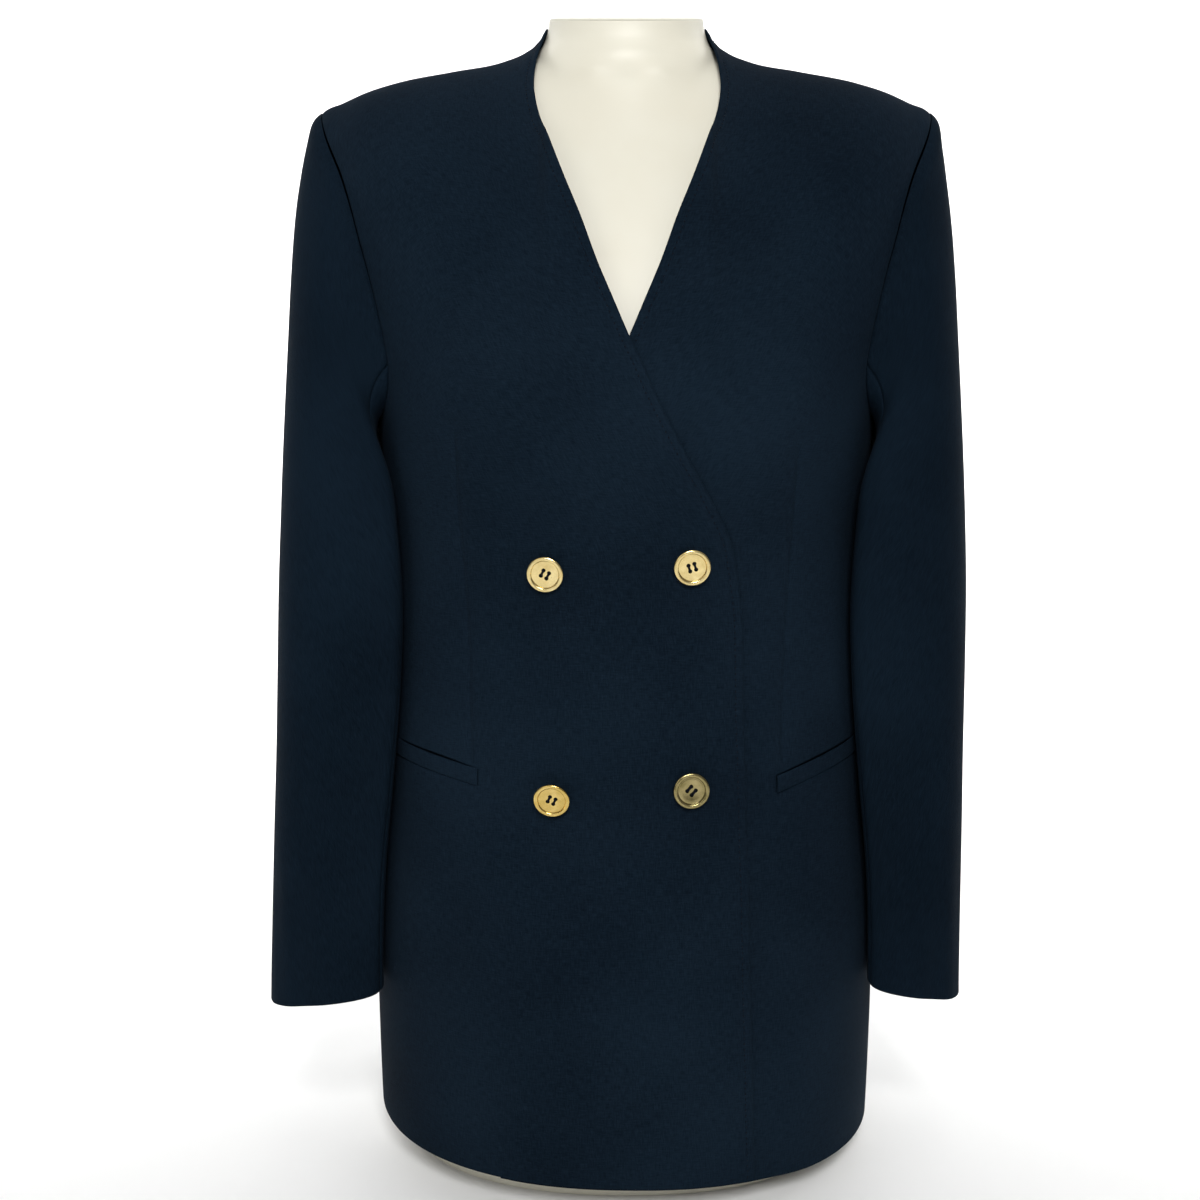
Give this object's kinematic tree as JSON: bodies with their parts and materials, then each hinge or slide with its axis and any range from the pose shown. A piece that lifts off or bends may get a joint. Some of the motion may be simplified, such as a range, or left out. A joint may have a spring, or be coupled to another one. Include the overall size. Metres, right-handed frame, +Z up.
{
  "type": "double-breasted collarless blazer on a limbless dress form",
  "caption": "Long double-breasted blazer without a collar, with padded shoulders, welt pockets and gilt buttons, standing on a smooth dress form.",
  "frame": {"origin": "on the floor, in the middle of the dress form's flat base", "axes": "+Z up, the garment's front faces -Y, the wearer's right is at -X"},
  "size_m": [0.4796, 0.2912, 0.7837],
  "materials": {
    "wool": "fine plain-weave wool, matt with a faint sheen",
    "gilt": "polished gilt",
    "form": "smooth cream lacquer, satin"
  },
  "bodies": {
    "root": {"front_right": "wool", "front_left": "wool", "back_right": "wool", "back_left": "wool", "sleeve_right_upper": "wool", "sleeve_right_under": "wool", "sleeve_left_upper": "wool", "sleeve_left_under": "wool", "pocket_welt_right": "wool", "pocket_welt_left": "wool", "button_upper_right": "gilt", "button_upper_left": "gilt", "button_lower_right": "gilt", "button_lower_left": "gilt", "dress_form": "form"}
  },
  "joints": []
}
